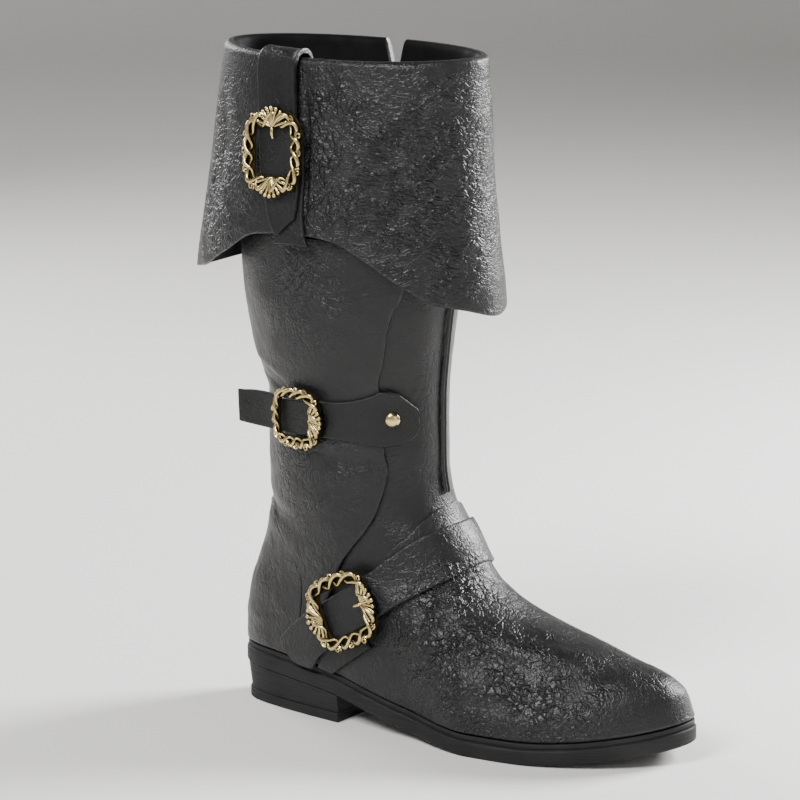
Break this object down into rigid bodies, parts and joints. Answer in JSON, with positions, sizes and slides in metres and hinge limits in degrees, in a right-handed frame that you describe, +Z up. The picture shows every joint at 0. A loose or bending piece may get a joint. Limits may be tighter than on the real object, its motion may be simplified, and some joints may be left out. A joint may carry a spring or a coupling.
{
  "type": "knee-high cuffed boot",
  "caption": "Knee-high boot for the right foot: foot and shaft in one, a deep turned-down cuff, a low heel, and buckled straps round the ankle, on the calf and over the cuff.",
  "frame": {"origin": "middle of the heel's bottom face, on the floor", "axes": "+X towards the toe, +Z up the shaft, -Y to the outer side of the right foot"},
  "size_m": [0.3375, 0.1214, 0.4121],
  "materials": {
    "leather": "black crinkled leather with a soft sheen",
    "strap": "black strap leather, matte, with raised edges",
    "sole": "matte black rubber",
    "heel": "matte black, stacked in thin layers",
    "lining": "matte black lining",
    "metal": "antique pale brass, worn bright on the raised places"
  },
  "bodies": {
    "root": {"upper": "leather", "cuff": "leather", "vamp": "leather", "heel_counter": "leather", "side_panel": "leather", "front_seam": "leather", "ankle_strap": "strap", "ankle_strap_base": "strap", "calf_strap": "strap", "cuff_strap": "strap", "cuff_band": "strap", "outsole": "sole", "top_lift": "sole", "heel_block": "heel", "insole": "lining", "ankle_buckle": "metal", "ankle_prong": "metal", "calf_buckle": "metal", "cuff_buckle": "metal", "cuff_prong": "metal", "stud": "metal"}
  },
  "joints": []
}
